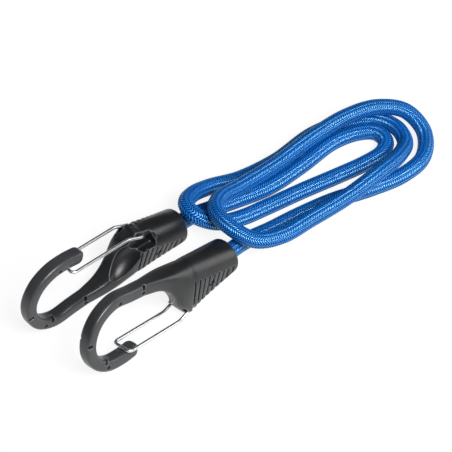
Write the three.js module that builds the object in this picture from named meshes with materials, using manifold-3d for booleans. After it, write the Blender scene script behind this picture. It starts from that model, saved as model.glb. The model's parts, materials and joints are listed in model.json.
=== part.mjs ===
// A bungee cord: a braided elastic cord, folded in a loose hank, with a gated plastic hook on each end.
// Millimetres, +Z up. The hooks point along -X and stand on edge on the floor, Z = 0.
// The origin is on the floor, under the middle of the two hooks.
import * as THREE from "three";
import { mergeVertices } from "three/addons/utils/BufferGeometryUtils.js";
import Module from "manifold-3d";

const wasm = await Module();
wasm.setup();

// Cord
const CORD_D = 9; // over the braid
const SHEATH_WALL = 1.2;
const FIT = 0.3; // clearance between pieces that fit into each other
const CORD_STEPS = 112;
const CORD_SIDES = 8;
const CORE_SIDES = 5;

// Collar and socket
const COLLAR_R = 10;
const RIM_ROUND = 1.6;
const SOCKET_DEPTH = 23; // from the collar's rear face to the end of the bore
const PIN_R = 1.1;
const PIN_AT = 19.5; // along the hook's axis
const PIN_TILT = 66; // degrees from the hook's plane
const PIN_SINK = 1.2; // below the surface at each end

// Wire gate
const WIRE_R = 0.95;
const PIVOT_BACK = 8.5; // from the nose's front back to the gate's pivot
const PIVOT_V = 12.6; // from the axis to the pivot
const JOG_AHEAD = 2.5; // from the nose's front on to where the legs bend
const JOG_V = 16.6; // from the axis to that bend
const BAR_IN = 9.5; // how far inside the tip's end the crossbar lies
const WIRE_BEND = 1.9; // radius of the wire's bends at the pivot and where the legs bend
const BAR_BEND = 2.8; // and at the ends of the crossbar
const STUB_END = 1.6; // from the hook's plane to the end of each stub
const SWING = 25; // degrees that the gate opens inwards

// Grip and nose
const NOSE_U = 39.5; // along the axis to the middle of the nose's slanted front
const NOSE_GATE = 16.6; // from the axis to the nose's gate side
const TONGUE_T = 4.4; // half the thickness of the nose's inner tongue, which carries the gate
const CHEEK_WALL = 1.5; // wall outside the leg that the nose covers
const GRIP_BACK = 9.5; // from the nose's front back to where the grip is at its full height
const GRIP_SPINE = 15; // from the axis to the spine side there
const GRIP_GATE = 15.4; // from the axis to the gate side there
const GRIP_SQUARE = 2.6; // exponent of the section's spine half there, rounder than its gate half
const NOSE_LEAD = 0.8; // share of the way from the collar's thickness to the nose's there

// Throat, from the nose's front to where the arm has its full section
const THROAT_L = 24.5;
const THROAT_V = -9.8; // the spine's inner side at the end of the throat
// Stations of the throat, as shares of its length on the spine side and on the gate side,
// of its depth, and of the way from the nose's thickness to the arm's
const THROAT = [
  [-0.265, -0.18, 0, 0],
  [-0.143, -0.05, 0.136, 0.05],
  [0.02, 0.08, 0.284, 0.12],
  [0.224, 0.216, 0.59, 0.25],
  [0.429, 0.358, 0.818, 0.45],
  [0.612, 0.6, 1, 0.68],
];

// Pocket in one face of the nose: its corners, from the pivot
const POCKET = [
  [-3.6, 5],
  [-5.8, -0.1],
  [-7.2, -4.6],
  [-7.4, -7.8],
  [5.5, -8.9],
  [11, -1],
];
const POCKET_LIP = [2, 3.6]; // where its upper edge ends, from the pivot

// Scooped hollow in front of the pocket, an ellipsoid: half its length, width and depth
const SCOOP = [20, 7, 6.5];
const SCOOP_TURN = 45; // degrees from the hook's axis to its length
const SCOOP_AHEAD = 4.9; // its middle, from the nose's front
const SCOOP_V = 1.1; // and from the axis

// Arm
const ARM_W = 7.6; // thickness of the arm, both ways
const ARM_SQUARE = 4.2; // exponent of the rounded square section
const ARM_SLIM = 1.1; // taken off the arm's inner side halfway round the eye
const SPINE_END_U = 82; // where the spine begins to turn
const SPINE_OUT = 19.4; // from the axis to the middle of the spine there
const TIP_OUT = 18.7; // from the axis to the middle of the tip arm
const TIP_BACK = 12; // from there back to the tip's end
const TIP_DROOP = 0.4; // how far the tip leans in
const EYE_TURN_L = 20.4; // from there on to the middle of the arm at the end of the eye
// Middle of the arm round the end of the eye, as shares of that length and of the way across to the tip arm
const EYE_TURN = [
  [0.147, -0.01],
  [0.647, 0.094],
  [0.92, 0.289],
  [1, 0.546],
  [0.814, 0.793],
  [0.43, 0.947],
  [-0.05, 1],
];
const TIP_ROUND = 0.75; // how far the tip's end is rounded off, from 0 to 1

// Steel core in the arm, and the mould-pin marks that reach down to it
const CORE_W = 3.2;
const CORE_LEAD = 11; // how far it reaches back into the throat
const CORE_STOP = 5; // plastic left beyond it at the tip
const MARK_W = 1.3;
const SLOT_L = 2.6;
const SLOT_OFF = 2.55; // from the middle of the arm to the middle of a slot
const DOT_OFF = 1.1; // and of a square mark
// Share of the arm's length, face, place across the arm, and length of each mark
const MARKS = [
  [0.02, 1, -SLOT_OFF, SLOT_L],
  [0.02, 1, DOT_OFF, MARK_W],
  [0.2, 1, DOT_OFF, MARK_W],
  [0.5, 1, -SLOT_OFF, SLOT_L],
  [0.72, 1, SLOT_OFF, SLOT_L],
  [0.76, 1, -DOT_OFF, MARK_W],
  [0.02, -1, SLOT_OFF, SLOT_L],
  [0.02, -1, -DOT_OFF, MARK_W],
  [0.27, -1, SLOT_OFF, SLOT_L],
  [0.31, -1, -DOT_OFF, MARK_W],
  [0.47, -1, -SLOT_OFF, SLOT_L],
  [0.82, -1, DOT_OFF, MARK_W],
];

// Grip ribs: grooves over the gate's half of one face and the spine's half of the other, on a slanting facet
const RIB_COUNT = 9;
const RIB_PITCH = 3.55;
const RIB_FROM_U = 4.5;
const GROOVE_W = 1.3;
const GROOVE_DEPTH = 1.2;
const FACET = 0.27; // how much the facet falls for each millimetre across the grip
const FACET_END = 0.1; // and where it runs out, at the full grip
const RIB_START = -0.8; // how far past the middle of the face the grooves start, at the collar
const RIB_SLANT = 0.2; // and how much further for each millimetre along the axis
const RIB_STOP = 7.5; // height over the hook's plane where the rearmost groove ends: the foremost ends at it
const RIB_EDGE = 1.6; // face left between the grooves' ends and the spine's edge

// How finely round shapes are cut
const BODY_SIDES = 16;
const ARM_STEPS = 22;
const CORE_STEPS = 20;
const ROUND_SIDES = 12;
const SMALL_SIDES = 8;
const WIRE_SIDES = 6;
const WIRE_STEPS = 56;

// Where the hooks lie: middle of the collar's rear face, and the way each hook points and leans, in degrees
const NEAR = { x: -21.2, y: -20.5, yaw: 182, pitch: 8.6, roll: 82, face: 1 };
const FAR = { x: -24, y: 14, yaw: 178, pitch: 10.2, roll: 90, face: -1 };
const LEAD = 14; // straight cord behind each collar

// The cord's way from the near hook's straight lead to the far hook's: six runs and five turns
const ROUTE = [
  [12, -22, 5.2], [29.8, -25.6, 4.8], [51, -31.6, 4.8], [71.8, -40.3, 4.8],
  [92, -46.4, 4.8], [110, -45.5, 4.8], [124, -33.6, 6.2], [124, -19.4, 12.2], [112.3, -8, 15.6],
  [95.4, -0.7, 15.4], [75, 3.5, 13], [43, 4, 13], [17, 5.2, 15.2],
  [-1.5, 4, 20], [-10.5, -3, 22.9], [-12.5, -15.5, 22.2], [-7, -28.5, 17.9], [6.2, -35, 15.6],
  [26.3, -37.8, 15], [51.2, -41, 15], [76.6, -41.7, 15.1],
  [97, -38.8, 11.3], [110, -32, 7], [115.5, -21, 5.8], [113, -7.8, 5.2], [98.7, 3.6, 4.8],
  [79, 10, 4.8], [50, 10.8, 4.8], [26, 15.2, 5.8], [7, 20, 10.5],
  [-6.3, 19.8, 15], [-15, 15.2, 18], [-17, 7.2, 17.5], [-12, 0.8, 13.4], [-3.7, -3, 9],
  [8, -6, 6], [22, -9, 4.8], [44.4, -14.8, 4.8], [67.2, -21.4, 4.8], [84.6, -25.9, 4.8],
  [96.5, -27, 4.8], [104.2, -22.8, 4.8], [105.2, -14.2, 4.8], [97.9, -7.2, 4.8], [83, -2.2, 4.8],
  [57.3, -1.8, 4.8], [33, 0.2, 4.8], [13, 6.6, 4.8],
];

// Geometry to solid and back
function solidOf(geometry) {
  const bare = new THREE.BufferGeometry().setAttribute("position", geometry.getAttribute("position"));
  bare.setIndex(geometry.index);
  const merged = mergeVertices(bare, 1e-4);
  return new wasm.Manifold(
    new wasm.Mesh({
      numProp: 3,
      vertProperties: new Float32Array(merged.attributes.position.array),
      triVerts: new Uint32Array(merged.index.array),
    }),
  );
}

function geometryOf(solid) {
  const mesh = solid.getMesh();
  const geometry = new THREE.BufferGeometry();
  geometry.setAttribute("position", new THREE.BufferAttribute(new Float32Array(mesh.vertProperties), 3));
  geometry.setIndex(new THREE.BufferAttribute(new Uint32Array(mesh.triVerts), 1));
  geometry.computeVertexNormals();
  return geometry;
}

function joined(solids) {
  return solids.reduce((sum, solid) => sum.add(solid));
}

// A skin over closed sections, each between a spine-side point and a gate-side point of the hook's plane.
// A facet cuts the gate's half of one face and the spine's half of the other.
function loft(sections, sides) {
  const points = [];
  const faces = [];
  for (const { spine, gate, half, square, spineSquare = square, facet = 0 } of sections) {
    const mid = spine.clone().add(gate).multiplyScalar(0.5);
    const reach = gate.clone().sub(spine).multiplyScalar(0.5);
    for (let k = 0; k < sides; k++) {
      const turn = (2 * Math.PI * (k + 0.5)) / sides;
      const c = Math.cos(turn);
      const s = Math.sin(turn);
      const power = 2 / (c < 0 ? spineSquare : square);
      const across = Math.sign(c) * Math.abs(c) ** power;
      const up = Math.sign(s) * Math.abs(s) ** power;
      const u = mid.x + reach.x * across;
      const v = mid.y + reach.y * across;
      const lid = half - facet * Math.max(0, Math.sign(s) * v + RIB_START + RIB_SLANT * u);
      points.push(u, v, Math.sign(s) * Math.min(half * Math.abs(up), lid));
    }
  }
  const last = sections.length - 1;
  for (let i = 0; i < last; i++)
    for (let k = 0; k < sides; k++) {
      const a = i * sides + k;
      const b = i * sides + ((k + 1) % sides);
      faces.push(a, b, a + sides, b, b + sides, a + sides);
    }
  for (const [row, flip] of [[0, true], [last, false]]) {
    const { spine, gate } = sections[row];
    const hub = points.length / 3;
    points.push((spine.x + gate.x) / 2, (spine.y + gate.y) / 2, 0);
    for (let k = 0; k < sides; k++) {
      const a = row * sides + k;
      const b = row * sides + ((k + 1) % sides);
      faces.push(...(flip ? [hub, b, a] : [hub, a, b]));
    }
  }
  const geometry = new THREE.BufferGeometry();
  geometry.setAttribute("position", new THREE.Float32BufferAttribute(points, 3));
  geometry.setIndex(faces);
  return geometry;
}

// A round tube along a curve, hollow if a bore is given.
function tube(path, radius, sides, steps, bore = 0, boreSides = sides) {
  const ring = (r, n) =>
    Array.from({ length: n }, (_, k) => {
      const turn = (2 * Math.PI * k) / n;
      return new THREE.Vector2(r * Math.cos(turn), r * Math.sin(turn));
    });
  const shape = new THREE.Shape(ring(radius, sides));
  if (bore) shape.holes.push(new THREE.Path(ring(bore, boreSides)));
  return new THREE.ExtrudeGeometry(shape, { steps, extrudePath: path });
}

// A rod along the direction given, through the middle point given.
function rod(radius, length, direction, middle, sides) {
  const geometry = new THREE.CylinderGeometry(radius, radius, length, sides);
  const upright = new THREE.Vector3(0, 1, 0);
  const turn = new THREE.Quaternion().setFromUnitVectors(upright, direction);
  return geometry.applyQuaternion(turn).translate(middle.x, middle.y, middle.z);
}

// A flat outline of the hook's plane, from one height over that plane to another.
function slab(outline, from, to) {
  const shape = new THREE.Shape(outline.map(([u, v]) => new THREE.Vector2(u, v)));
  const geometry = new THREE.ExtrudeGeometry(shape, { depth: to - from, bevelEnabled: false });
  return geometry.translate(0, 0, from);
}

// The hook in its own frame: u along the axis from the collar to the eye, v from the spine to the gate,
// w across
const ARM_H = ARM_W / 2;
const LEG_ROOM = WIRE_R + FIT;
const GATE_HALF = TONGUE_T + LEG_ROOM; // from the hook's plane to the middle of a leg
const NOSE_T = GATE_HALF + LEG_ROOM + CHEEK_WALL; // half the nose's thickness
const GRIP_U = NOSE_U - GRIP_BACK;
const PIVOT_U = NOSE_U - PIVOT_BACK;
const JOG_U = NOSE_U + JOG_AHEAD;
const ARM_FROM_U = NOSE_U + THROAT_L;
const TIP_U = SPINE_END_U - TIP_BACK;
const BAR_U = TIP_U + BAR_IN;
const SPINE_SLOPE = (SPINE_OUT + ARM_H - COLLAR_R) / SPINE_END_U;
const spineV = (u) => -COLLAR_R - SPINE_SLOPE * u;
const mix = (a, b, share) => a + (b - a) * share;
const uv = (u, v) => new THREE.Vector2(u, v);
const uvw = (u, v, w) => new THREE.Vector3(u, v, w);

// Middle of the arm, from where the spine is straight, round the end of the eye, to the tip
const spineMid = (u) => uvw(u, spineV(u) + ARM_H, 0);
const armPath = new THREE.CatmullRomCurve3(
  [
    spineMid(ARM_FROM_U),
    spineMid((ARM_FROM_U + SPINE_END_U) / 2),
    ...EYE_TURN.map(([along, over]) => {
      return uvw(SPINE_END_U + EYE_TURN_L * along, mix(-SPINE_OUT, TIP_OUT, over), 0);
    }),
    uvw(TIP_U, TIP_OUT - TIP_DROOP, 0),
  ],
  false,
  "centripetal",
);
const ARM_L = armPath.getLength();

function armSections(half, to, steps, square, round, slim) {
  return Array.from({ length: steps + 1 }, (_, i) => {
    const at = (to * i) / steps;
    const mid = armPath.getPointAt(at);
    const way = armPath.getTangentAt(at);
    const left = (1 - at) * ARM_L;
    const size = left < round ? half * Math.sqrt(1 - TIP_ROUND * (1 - left / round) ** 2) : half;
    const reach = size - slim * Math.sin(Math.PI * at) ** 2;
    const gate = uv(mid.x - way.y * reach, mid.y + way.x * reach);
    const spine = uv(mid.x + way.y * size, mid.y - way.x * size);
    return { spine, gate, half: size, square };
  });
}

// Grip sections from the collar's rear face to the nose and on down the throat, drawn in by an inset.
// The section goes from round at the collar to a rounded square.
function gripSections(inset) {
  const station = (spineU, spine, gateU, gate, half, square, spineSquare, facet = 0) => ({
    spine: uv(spineU, spine + inset),
    gate: uv(gateU, gate - inset),
    half: half - inset,
    square,
    spineSquare,
    facet,
  });
  const grip = (share, facet) => {
    const u = GRIP_U * share;
    const high = mix(COLLAR_R, GRIP_GATE, share);
    const low = -mix(COLLAR_R, GRIP_SPINE, share);
    const thick = mix(COLLAR_R, NOSE_T, share * share * NOSE_LEAD);
    const [square, spineSquare] = [ARM_SQUARE, GRIP_SQUARE].map((end) => mix(2, end, share * share));
    return station(u, low, u, high, thick, square, spineSquare, facet);
  };
  const ring = (u, r) => station(u, -r, u, r, r, 2, 2);
  const corner = RIM_ROUND * (1 - Math.SQRT1_2);
  return [
    ring(0, COLLAR_R - RIM_ROUND),
    ring(corner, COLLAR_R - corner),
    ring(RIM_ROUND, COLLAR_R),
    grip(0.25, FACET),
    grip(0.5, FACET),
    grip(0.8, FACET),
    grip(1, FACET_END),
    ...THROAT.map(([spineShare, gateShare, depth, thin]) => {
      const u = NOSE_U + THROAT_L * spineShare;
      const gateU = NOSE_U + THROAT_L * gateShare;
      const gate = mix(NOSE_GATE, THROAT_V, depth);
      const half = mix(NOSE_T, ARM_H, thin);
      return station(u, spineV(u), gateU, gate, half, ARM_SQUARE, mix(GRIP_SQUARE, ARM_SQUARE, thin));
    }),
  ];
}

const armSkin = armSections(ARM_H, 1, ARM_STEPS, ARM_SQUARE, ARM_H, ARM_SLIM);
let bodySolid = solidOf(loft([...gripSections(0), ...armSkin], BODY_SIDES));

// Grooves between the ribs, as deep as an inner skin lets them
const inner = solidOf(loft(gripSections(GROOVE_DEPTH), BODY_SIDES));
const grooves = [];
for (let k = 0; k < RIB_COUNT; k++) {
  const u = RIB_FROM_U + k * RIB_PITCH;
  const wide = 2 * (COLLAR_R + NOSE_GATE);
  const start = RIB_START + RIB_SLANT * u;
  const stop = RIB_STOP * (1 - k / (RIB_COUNT - 1));
  const spineReach = mix(COLLAR_R, GRIP_SPINE, u / GRIP_U) - RIB_EDGE + start;
  for (const [side, reach] of [[1, wide], [-1, spineReach]]) {
    const groove = new THREE.BoxGeometry(GROOVE_W, reach, wide);
    groove.translate(u, side * (reach / 2 - start), side * (wide / 2 + stop));
    grooves.push(solidOf(groove).subtract(inner));
  }
}
bodySolid = bodySolid.subtract(joined(grooves));

// Socket for the cord, and the hole for its cross pin
const socketLength = SOCKET_DEPTH + COLLAR_R;
const socketMid = uvw(SOCKET_DEPTH - socketLength / 2, 0, 0);
const socket = rod(CORD_D / 2 + FIT, socketLength, uvw(1, 0, 0), socketMid, ROUND_SIDES);
const tilt = THREE.MathUtils.degToRad(PIN_TILT);
const pinRod = (radius) => {
  const through = 6 * COLLAR_R;
  return rod(radius, through, uvw(0, Math.cos(tilt), Math.sin(tilt)), uvw(PIN_AT, 0, 0), SMALL_SIDES);
};
bodySolid = bodySolid.subtract(solidOf(socket)).subtract(solidOf(pinRod(PIN_R + FIT)));

// Open pocket in one face of the nose, and a slot behind the other face, where the gate's legs run and swing
const past = NOSE_U + THROAT_L / 2;
const beyond = 2 * NOSE_GATE;
const swingLow = JOG_V - (JOG_U - PIVOT_U) * Math.tan(THREE.MathUtils.degToRad(SWING)) - 2 * LEG_ROOM;
const legBack = PIVOT_U - 2 * LEG_ROOM;
const fromPivot = ([u, v]) => [PIVOT_U + u, PIVOT_V + v];
const [lipU, lipV] = fromPivot(POCKET_LIP);
const room = [[past, swingLow - PIVOT_BACK / 2], [past, beyond]];
const pocket = [...POCKET.map(fromPivot), ...room, [lipU + LEG_ROOM, beyond], [lipU, lipV]];
const slot = [[legBack, PIVOT_V - LEG_ROOM], [JOG_U, swingLow], ...room, [legBack, beyond]];
const pivotHole = rod(LEG_ROOM, 3 * TONGUE_T, uvw(0, 0, 1), uvw(PIVOT_U, PIVOT_V, 0), SMALL_SIDES);
bodySolid = bodySolid
  .subtract(solidOf(slab(pocket, -2 * COLLAR_R, -TONGUE_T)))
  .subtract(solidOf(slab(slot, TONGUE_T, GATE_HALF + LEG_ROOM)))
  .subtract(solidOf(pivotHole));

// Scooped hollow that leaves the nose's inner tongue and runs down into the throat
const scoop = new THREE.SphereGeometry(1, ROUND_SIDES, SMALL_SIDES).scale(...SCOOP);
scoop.rotateZ(-THREE.MathUtils.degToRad(SCOOP_TURN)).translate(NOSE_U + SCOOP_AHEAD, SCOOP_V, -NOSE_T);
bodySolid = bodySolid.subtract(solidOf(scoop));

// Channel for the steel core, and the mould-pin marks that open it
function coreSolid(clearance) {
  const half = CORE_W / 2 + clearance;
  const u = ARM_FROM_U - CORE_LEAD - clearance;
  const v = spineV(u) + ARM_H;
  const lead = { spine: uv(u, v - half), gate: uv(u, v + half), half, square: 2 };
  const run = armSections(half, 1 - (CORE_STOP - clearance) / ARM_L, CORE_STEPS, 2, 0, 0);
  return solidOf(loft([lead, ...run], SMALL_SIDES));
}
const markSolids = MARKS.map(([at, face, off, length]) => {
  const mid = armPath.getPointAt(at);
  const way = armPath.getTangentAt(at);
  const mark = new THREE.BoxGeometry(MARK_W, length, ARM_W).translate(0, off, (face * ARM_W) / 2);
  return solidOf(mark.rotateZ(Math.atan2(way.y, way.x)).translate(mid.x, mid.y, 0));
});
bodySolid = bodySolid.subtract(coreSolid(FIT)).subtract(joined(markSolids));

// The cross pin, cut back under the surface at both ends
const pinReach = solidOf(loft(gripSections(PIN_SINK), BODY_SIDES));
const pinSolid = solidOf(pinRod(PIN_R)).intersect(pinReach);

// The wire gate: stub, leg, crossbar, leg, stub, with rounded bends
const barV = TIP_OUT - TIP_DROOP / 2 - ARM_H - LEG_ROOM;
const legCorners = [
  [PIVOT_U, PIVOT_V, STUB_END],
  [PIVOT_U, PIVOT_V, GATE_HALF],
  [JOG_U, JOG_V, GATE_HALF],
  [BAR_U, barV, GATE_HALF],
];
const otherLeg = legCorners.map(([u, v, w]) => [u, v, -w]).reverse();
const corners = [...legCorners, ...otherLeg].map((corner) => uvw(...corner));
const wirePath = new THREE.CurvePath();
let from = corners[0];
for (let k = 1; k < corners.length - 1; k++) {
  const bend = corners[k].x === BAR_U ? BAR_BEND : WIRE_BEND;
  const back = corners[k - 1].clone().sub(corners[k]).setLength(bend).add(corners[k]);
  const on = corners[k + 1].clone().sub(corners[k]).setLength(bend).add(corners[k]);
  wirePath.add(new THREE.LineCurve3(from, back));
  wirePath.add(new THREE.QuadraticBezierCurve3(back, corners[k], on));
  from = on;
}
wirePath.add(new THREE.LineCurve3(from, corners.at(-1)));
const gateGeometry = tube(wirePath, WIRE_R, WIRE_SIDES, WIRE_STEPS);

// Each hook's frame on the floor: it rests on its lowest point
function place({ x, y, yaw, pitch, roll, face }) {
  const [a, b, c] = [yaw, pitch, roll].map(THREE.MathUtils.degToRad);
  const u = new THREE.Vector3(Math.cos(a) * Math.cos(b), Math.sin(a) * Math.cos(b), Math.sin(b));
  const side = new THREE.Vector3(-Math.sin(a), Math.cos(a), 0);
  const up = u.clone().cross(side);
  const w = up.multiplyScalar(Math.cos(c)).add(side.multiplyScalar(Math.sin(c))).multiplyScalar(face);
  const v = w.clone().cross(u);
  const turn = new THREE.Matrix4().makeBasis(u, v, w);
  const low = new THREE.Box3();
  for (const geometry of [bodyGeometry, gateGeometry]) {
    const turned = geometry.clone().applyMatrix4(turn);
    turned.computeBoundingBox();
    low.union(turned.boundingBox);
  }
  return turn.setPosition(x, y, -low.min.z);
}
function finish(color, roughness, metalness) {
  return new THREE.MeshStandardMaterial({ color, roughness, metalness });
}
const bodyGeometry = geometryOf(bodySolid);
const pieces = {
  hook_body: [bodyGeometry, finish("#1d1e20", 0.45, 0)],
  steel_core: [geometryOf(coreSolid(0)), finish("#8c9094", 0.4, 1)],
  wire_gate: [gateGeometry, finish("#c9ccd0", 0.25, 1)],
  cord_pin: [geometryOf(pinSolid), finish("#9a9da1", 0.35, 1)],
};

const lay = new THREE.Group();
const hooks = new THREE.Group();
lay.add(hooks);
const frames = { near: place(NEAR), far: place(FAR) };
for (const [name, frame] of Object.entries(frames)) {
  const hook = new THREE.Group();
  hook.applyMatrix4(frame);
  for (const [piece, [geometry, material]] of Object.entries(pieces)) {
    const mesh = new THREE.Mesh(geometry, material);
    mesh.name = `${name}_${piece}`;
    hook.add(mesh);
  }
  hooks.add(hook);
}

// The cord, from the bottom of one socket to the bottom of the other
const inSocket = (frame, u) => uvw(u, 0, 0).applyMatrix4(frame);
const seat = SOCKET_DEPTH - FIT;
const cordPath = new THREE.CatmullRomCurve3(
  [
    inSocket(frames.near, seat), inSocket(frames.near, 0), inSocket(frames.near, -LEAD),
    ...ROUTE.map((point) => uvw(...point)),
    inSocket(frames.far, -LEAD), inSocket(frames.far, 0), inSocket(frames.far, seat),
  ],
  false,
  "centripetal",
);
const bore = CORD_D / 2 - SHEATH_WALL;
const pinHoles = joined(
  Object.values(frames).map((frame) => solidOf(pinRod(PIN_R + FIT).applyMatrix4(frame))),
);
const braid = tube(cordPath, CORD_D / 2, CORD_SIDES, CORD_STEPS, bore, CORE_SIDES);
const rubber = tube(cordPath, bore - FIT, CORE_SIDES, CORD_STEPS);
const cord = [
  ["cord_sheath", braid, finish("#0f55b4", 0.55, 0)],
  ["cord_core", rubber, finish("#d8cfae", 0.8, 0)],
];
for (const [name, geometry, material] of cord) {
  const mesh = new THREE.Mesh(geometryOf(solidOf(geometry).subtract(pinHoles)), material);
  mesh.name = name;
  lay.add(mesh);
}

// The cord's length, and its least gap to itself, measured on points along it
const cordLength = cordPath.getLength();
const SPOT_GAP = 2;
const APART = 3.2 * CORD_D; // points closer than this along the cord are neighbours on one bend
const spots = cordPath.getSpacedPoints(Math.round(cordLength / SPOT_GAP));
const skip = Math.ceil(APART / SPOT_GAP);
let least = Infinity;
spots.forEach((p, i) => {
  for (let j = i + skip; j < spots.length; j++) least = Math.min(least, p.distanceTo(spots[j]));
});
console.log(`cord ${cordLength.toFixed(0)} mm long, least gap to itself ${(least - CORD_D).toFixed(2)} mm`);

// The origin goes under the middle of the hooks
lay.updateMatrixWorld(true);
const middle = new THREE.Box3().setFromObject(hooks, true).getCenter(new THREE.Vector3());
lay.position.set(-middle.x, -middle.y, 0);
const bungee = new THREE.Group();
bungee.add(lay);

export default bungee;
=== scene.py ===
import json
import math

import bmesh
import bpy
from mathutils import Matrix, Vector


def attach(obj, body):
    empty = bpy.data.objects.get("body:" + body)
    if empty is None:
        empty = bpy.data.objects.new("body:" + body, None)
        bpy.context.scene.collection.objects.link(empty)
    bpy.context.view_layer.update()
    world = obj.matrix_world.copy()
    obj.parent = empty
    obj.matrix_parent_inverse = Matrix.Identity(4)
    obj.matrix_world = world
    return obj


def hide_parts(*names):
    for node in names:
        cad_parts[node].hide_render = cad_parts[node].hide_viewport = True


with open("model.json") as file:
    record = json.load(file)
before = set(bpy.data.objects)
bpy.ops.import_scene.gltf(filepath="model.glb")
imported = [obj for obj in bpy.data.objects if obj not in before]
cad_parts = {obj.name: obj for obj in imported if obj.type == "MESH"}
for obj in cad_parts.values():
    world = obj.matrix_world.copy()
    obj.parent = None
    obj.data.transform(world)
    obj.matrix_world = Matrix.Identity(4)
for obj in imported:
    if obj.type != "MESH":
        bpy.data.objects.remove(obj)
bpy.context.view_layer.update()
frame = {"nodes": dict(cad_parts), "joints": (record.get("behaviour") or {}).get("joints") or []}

scene = bpy.context.scene
MM = 0.001

# Camera: it looks at the point of the floor that the cord's route is measured from
LAY = Vector((74.4497, 3.6802, 0)) * MM
CAMERA_AWAY = 1.133
CAMERA_RISE = math.radians(49.5)
CAMERA_WAY = Vector((0.7124, 0.7018, 0))
PICTURE_PX = 452
FOCAL_PX = 2085
SENSOR = 36

camera_data = bpy.data.cameras.new("camera")
camera_data.sensor_width = SENSOR
camera_data.lens = SENSOR * FOCAL_PX / PICTURE_PX
camera = bpy.data.objects.new("camera", camera_data)
scene.collection.objects.link(camera)
look = CAMERA_WAY * math.cos(CAMERA_RISE) - Vector((0, 0, math.sin(CAMERA_RISE)))
camera.location = LAY - look * CAMERA_AWAY
camera.rotation_euler = look.to_track_quat("-Z", "Y").to_euler()
scene.camera = camera

# Cord
CORD_R = 4.5
CORD_LENGTH = 0.961  # in metres
SOCKET_SEAT = 22.7  # how far the cord reaches into each collar
LEAD = 14  # straight cord behind each collar
RUBBER_R = 3
# The cord's way from the near hook's straight lead to the far hook's: six runs and five turns
ROUTE = [
    (12, -22, 5.2), (29.8, -25.6, 4.8), (51, -31.6, 4.8), (71.8, -40.3, 4.8),
    (92, -46.4, 4.8), (110, -45.5, 4.8), (124, -33.6, 6.2), (124, -19.4, 12.2), (112.3, -8, 15.6),
    (95.4, -0.7, 15.4), (75, 3.5, 13), (43, 4, 13), (17, 5.2, 15.2),
    (-1.5, 4, 20), (-10.5, -3, 22.9), (-12.5, -15.5, 22.2), (-7, -28.5, 17.9), (6.2, -35, 15.6),
    (26.3, -37.8, 15), (51.2, -41, 15), (76.6, -41.7, 15.1),
    (97, -38.8, 11.3), (110, -32, 7), (115.5, -21, 5.8), (113, -7.8, 5.2), (98.7, 3.6, 4.8),
    (79, 10, 4.8), (50, 10.8, 4.8), (26, 15.2, 5.8), (7, 20, 10.5),
    (-6.3, 19.8, 15), (-15, 15.2, 18), (-17, 7.2, 17.5), (-12, 0.8, 13.4), (-3.7, -3, 9),
    (8, -6, 6), (22, -9, 4.8), (44.4, -14.8, 4.8), (67.2, -21.4, 4.8), (84.6, -25.9, 4.8),
    (96.5, -27, 4.8), (104.2, -22.8, 4.8), (105.2, -14.2, 4.8), (97.9, -7.2, 4.8), (83, -2.2, 4.8),
    (57.3, -1.8, 4.8), (33, 0.2, 4.8), (13, 6.6, 4.8),
]
# Braid: stitches in columns round the cord, slanting one way and the other in turn
STITCH_COLUMNS = 12
COLUMN_CUTS = 4
STITCH_PITCH = 1.2
STITCH_SLANT = math.radians(38)
CREST_R = 4.65  # the yarn stands a little proud of the cord's mean radius
STITCH_DIP = 0.2  # between one stitch and the next
COLUMN_DIP = 0.16  # between one column and the next

# Lie of each hook: its turns in degrees, and which of its faces is up
NEAR_LIE = {"yaw": 182, "pitch": 8.6, "roll": 82, "face": 1}
FAR_LIE = {"yaw": 178, "pitch": 10.2, "roll": 90, "face": -1}
# Hook, in its own frame: u along the axis from the collar to the eye, v from the spine to the gate, w across
FIT = 0.3
COLLAR_R = 10
RIM_ROUND = 1.6
SOCKET_DEPTH = 23
PIN_HOLE_R = 1.9
PIN_AT = 19.5
PIN_TILT = math.radians(66)
# Gate wire
WIRE_R = 0.95
LEG_ROOM = WIRE_R + FIT
PIVOT = (31, 12.6)
JOG = (42, 16.6)  # where the gate's legs bend
BAR_U = 79.5
WIRE_BEND = 1.9
BAR_BEND = 2.8  # at the ends of the crossbar
STUB_END = 1.6
WIRE_END = 0.45  # how far the rounding of the wire's ends reaches
WIRE_END_LOSS = 0.5  # how much of the end it takes
SWING = math.radians(25)
# Grip and nose. A section's squareness is 2 for a round one, and more for a squarer one
ROUND = 2
NOSE_GATE = 16.6
NOSE_WALL = 1.5
TONGUE_T = 4.4
GATE_HALF = TONGUE_T + LEG_ROOM
NOSE_T = GATE_HALF + LEG_ROOM + NOSE_WALL
GRIP_U = 30
GRIP_SPINE = 15
GRIP_GATE = 15.4
GRIP_SQUARE = 2.15  # the grip's spine half is rounder than its gate half
NOSE_SQUARE = 2.7
NOSE_LEAD = 0.8  # share of the change to the nose's thickness that the grip takes
CHEEK_T = 9.4  # half the nose's thickness
# Grip stations: share of the grip's length, and how much the ribs' facet falls for each millimetre across
GRIP = [(0.25, 0.27), (0.5, 0.25), (0.8, 0.2), (1, 0.14)]
# Arm
ARM_H = 3.8
ARM_SQUARE = 4.2
ARM_SLIM = 1.1
ARM_FROM_U = 64
SPINE_END_U = 82
SPINE_OUT = 19.4
TIP_OUT = 18.7
TIP_U = 70
TIP_DROOP = 0.4
TIP_ROUND = 0.75
# Throat stations: along the spine side, along the gate side, the gate side's height, half the thickness,
# how square the gate half is and how much the ribs' facet falls
THROAT = [
    (33, 35.1, 16.6, 9.4, 3, 0.11),
    (36, 38.3, 13, 9, 3.3, 0.07),
    (40, 41.5, 9.1, 8.3, 3.7, 0.03),
    (45, 44.8, 1, 7.3, 4, 0),
    (50, 48.3, -5, 6.3, 4.2, 0),
    (54.5, 54.2, -9.8, 5.3, 4.2, 0),
]
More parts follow.
